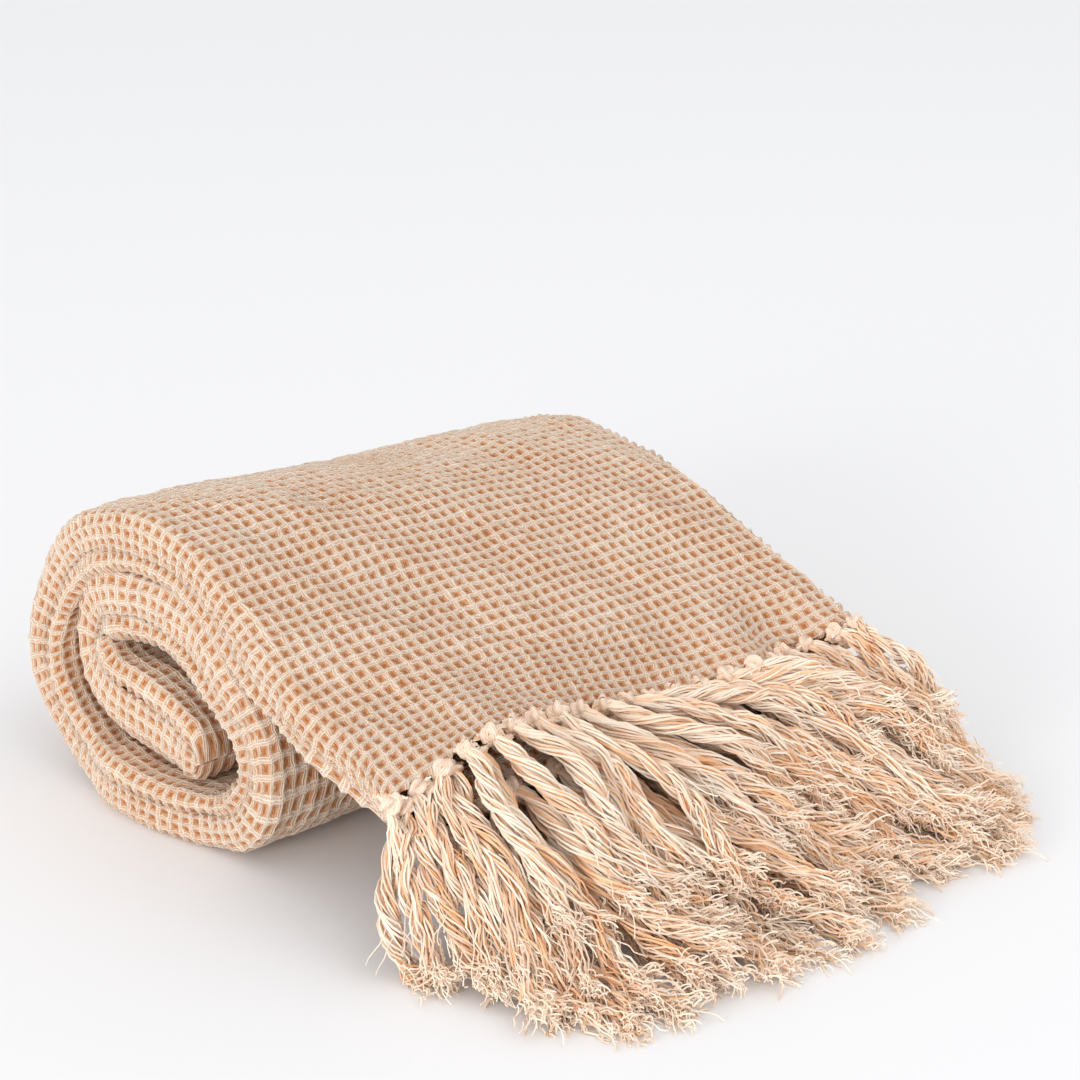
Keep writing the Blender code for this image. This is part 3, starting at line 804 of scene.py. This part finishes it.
def add_tassel_yarns(curve, line, length, yarns_in_ply, tone_mixes, draw):
    """Three loosely twisted plies of yarns, which untwist and spread like a brush at their end."""
    t = np.linspace(0, 1, TASSEL_POINTS)
    s = t * length
    way, level, up = frames_along(line)
    ply_turn = draw.uniform(0, math.tau)
    twist = draw.uniform(*PLY_TWIST) * draw.choice((1, -1))
    spread = draw.uniform(*BRUSH_SPREAD)
    tone_mix = draw.choice(tone_mixes)
    ply_out = brush_out(s, *PLY_OUT, spread)
    yarn_out = brush_out(s, *YARN_OUT, spread)
    stray = np.interp(s, *YARN_STRAY)
    for ply in range(PLIES):
        ply_angle = ply_turn + math.tau * (ply / PLIES + s / twist)
        ply_shorter = draw.uniform(-PLY_UNEVEN, PLY_UNEVEN)
        for yarn in range(yarns_in_ply):
            out = yarn_out * math.sqrt((yarn + YARN_INNERMOST) / yarns_in_ply)
            angle = yarn * YARN_TURN - math.tau * s / YARN_TWIST
            angle = angle + draw.uniform(-YARN_TURN_UNEVEN, YARN_TURN_UNEVEN)
            pace = draw.uniform(*STRAY_PACE)
            turn = draw.uniform(0, math.tau)
            sideways = ply_out * np.cos(ply_angle) + out * np.cos(angle)
            sideways += stray * np.sin(math.tau * s / pace + turn)
            sideways += draw.uniform(-HEM_FAN, HEM_FAN) * np.interp(s, (0, KNOT_AT), (1, 0))
            upward = ply_out * np.sin(ply_angle) + out * np.sin(angle)
            upward += stray * np.cos(math.tau * s / (pace * STRAY_PACE_UP) + turn * 2)
            end_uneven = draw.uniform(*YARN_END_UNEVEN) * ease((t - YARN_END_FROM) / (1 - YARN_END_FROM))
            points = line + level * sideways[:, None] + up * (upward * FLATTENED)[:, None]
            points += way * ((ply_shorter - YARN_SHORTER + end_uneven) * t)[:, None]
            points[:, 2] = np.maximum(points[:, 2], YARN_RADIUS * draw.uniform(*FLOOR_PILE))
            # Inner yarns are mostly tan: painted shade between a ply's yarns
            inner = yarn <= yarns_in_ply * INNER_SHARE
            tone = draw.choices(range(len(TONES)), INNER_SHADE_TONES if inner else tone_mix)[0]
            radii = YARN_RADIUS * draw.uniform(*RADIUS_UNEVEN) * np.interp(t, *RADIUS_ALONG)
            add_strand(curve, points, radii, tone)
            add_wisps(curve, points, level[-1], up[-1], draw)


# Long curly yarns that have worked loose and lie over a tassel's end
FRAY_POINTS = 10
FRAY_ASIDE = 0.004
FRAY_ABOVE = (0.001, 0.005)
FRAY_SIDEWAYS = 0.55
FRAY_UPWARD = (0.05, 0.15)
FRAY_CURL = (0.0008, 0.0030)
FRAY_LOOPS = (0.8, 1.8)
FRAY_LENGTH = (0.016, 0.034)
FRAY_DROP = 0.006
FRAY_RADIUS = 0.6 * YARN_RADIUS


def add_frays(curve, line, count, draw):
    """So many loose yarns, from anywhere along the outer half of a tassel's line."""
    way, level, up = frames_along(line)
    q = np.linspace(0, 1, FRAY_POINTS)[:, None]
    for _ in range(count):
        start = draw.randrange(TASSEL_POINTS // 2, TASSEL_POINTS - 2)
        root = line[start] + level[start] * draw.gauss(0, FRAY_ASIDE)
        root = root + up[start] * draw.uniform(*FRAY_ABOVE)
        heading = way[start] + level[start] * draw.gauss(0, FRAY_SIDEWAYS)
        heading = unit(heading + up[start] * draw.gauss(*FRAY_UPWARD))
        curl = draw.uniform(*FRAY_CURL)
        turn = draw.uniform(0, math.tau)
        loops = draw.uniform(*FRAY_LOOPS)
        points = root + heading * q * draw.uniform(*FRAY_LENGTH)
        points = points + level[start] * curl * q * np.sin(math.tau * loops * q + turn)
        points = points + up[start] * curl * q * np.cos(math.tau * loops * q + turn)
        points[:, 2] -= FRAY_DROP * q[:, 0] ** 2
        add_strand(curve, points, FRAY_RADIUS, 0)


# The overhand knot against the hem, pulled tight: three strands side by side, tied once. Its line
# goes twice round the tassel while it weaves three times in and out, up and down
KNOT_POINTS = 31
KNOT_SIZE = (0.95, 1.2)
KNOT_TILT_LEVEL = 0.5
KNOT_TILT_UP = 0.3
KNOT_ROUNDS = 2
KNOT_WEAVES = 3
KNOT_RADIUS = 0.0031
KNOT_IN_AND_OUT = 0.0013
KNOT_UP_AND_DOWN = 0.0030
KNOT_STRANDS = 3
STRANDS_APART = 0.0011
STRAND_RADIUS = 0.0018


def add_knot(curve, line, draw):
    """The knot round a tassel's line, tilted a little its own way."""
    way, level, up = frames_along(line)
    index = int(round(KNOT_AT / TASSEL_LENGTH * (TASSEL_POINTS - 1)))
    turn = draw.uniform(0, math.tau)
    size = draw.uniform(*KNOT_SIZE)
    axis = way[index] + level[index] * draw.uniform(-KNOT_TILT_LEVEL, KNOT_TILT_LEVEL)
    axis = unit(axis + up[index] * draw.uniform(-KNOT_TILT_UP, KNOT_TILT_UP))
    first = unit(np.cross(axis, up[index]))
    second = np.cross(axis, first)
    q = np.linspace(0, 1, KNOT_POINTS)
    around = KNOT_ROUNDS * math.tau * q + turn
    weave = KNOT_WEAVES * math.tau * q
    for strand in range(KNOT_STRANDS):
        offset = math.tau * (strand / KNOT_STRANDS + q)
        out = KNOT_RADIUS + KNOT_IN_AND_OUT * np.cos(weave) + STRANDS_APART * np.cos(offset)
        rise_along = KNOT_UP_AND_DOWN * np.sin(weave) + STRANDS_APART * np.sin(offset)
        points = line[index] + first * (size * out * np.cos(around))[:, None]
        points = points + second * (size * out * np.sin(around))[:, None]
        points = points + axis * (size * rise_along)[:, None]
        add_strand(curve, points, STRAND_RADIUS * size, 0)


def new_strands(name, materials=()):
    """An empty curve for strands; its materials come first, as a strand can't name them before."""
    curve = bpy.data.curves.new(name, "CURVE")
    curve.dimensions = "3D"
    for material in materials:
        curve.materials.append(material)
    return curve


def strand_mesh(curve):
    """The curve's strands as one mesh, each as thick as its points say."""
    strands = bpy.data.objects.new("strands", curve)
    scene.collection.objects.link(strands)
    bpy.context.view_layer.update()
    mesh = bpy.data.meshes.new_from_object(strands.evaluated_get(bpy.context.evaluated_depsgraph_get()))
    bpy.data.objects.remove(strands)
    return mesh


# A yarn's section is three-sided: it is finer than the eye reads, and there are thousands
section_curve = bpy.data.curves.new("yarn_section", "CURVE")
section_curve.dimensions = "2D"
section_line = section_curve.splines.new("POLY")
section_line.points.add(2)
for point, angle in zip(section_line.points, (90, 210, 330)):
    point.co = (math.cos(math.radians(angle)), math.sin(math.radians(angle)), 0, 1)
section_line.use_cyclic_u = True
section_object = bpy.data.objects.new("yarn_section", section_curve)
scene.collection.objects.link(section_object)

lengths = random.Random(11)
for hem_number in range(HEMS):
    draw = random.Random(100 + hem_number)
    yarns = new_strands("yarns", yarn_materials)
    yarns.bevel_mode = "OBJECT"
    yarns.bevel_object = section_object
    yarns.use_fill_caps = True
    knots = new_strands("knots")
    knots.bevel_depth = 1.0
    knots.bevel_resolution = 1
    for number in range(TOP_TASSELS - hem_number):
        length = TASSEL_LENGTH * (1 + LONGER_BY_HEM * hem_number)
        length += lengths.uniform(-LENGTH_UNEVEN, LENGTH_UNEVEN)
        line = tassel_line(hem_number, number, length, draw)
        # Lower hems get more tan: painted shade beneath the topmost hem
        tone_mixes = TONE_MIXES[hem_number > 0]
        add_tassel_yarns(yarns, line, length, YARNS_IN_PLY[hem_number], tone_mixes, draw)
        add_frays(yarns, line, FRAYS[hem_number], draw)
        add_knot(knots, line, draw)
    fringe_mesh = strand_mesh(yarns)
    fringe_mesh.shade_flat()
    knot_mesh = strand_mesh(knots)
    knot_mesh.shade_smooth()
    bm = bmesh.new()
    bm.from_mesh(fringe_mesh)
    yarn_faces = len(bm.faces)
    bm.from_mesh(knot_mesh)
    for face in list(bm.faces)[yarn_faces:]:
        face.material_index = len(yarn_materials)
    bm.to_mesh(fringe_mesh)
    bm.free()
    fringe_mesh.materials.append(knot_cotton)
    fringe_mesh.name = f"fringe_{hem_number + 1}_yarns"
    fringe = bpy.data.objects.new(f"fringe_{hem_number + 1}_yarns", fringe_mesh)
    scene.collection.objects.link(fringe)
    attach(fringe, "root")
    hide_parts(f"fringe_{hem_number + 1}")
bpy.data.objects.remove(section_object)
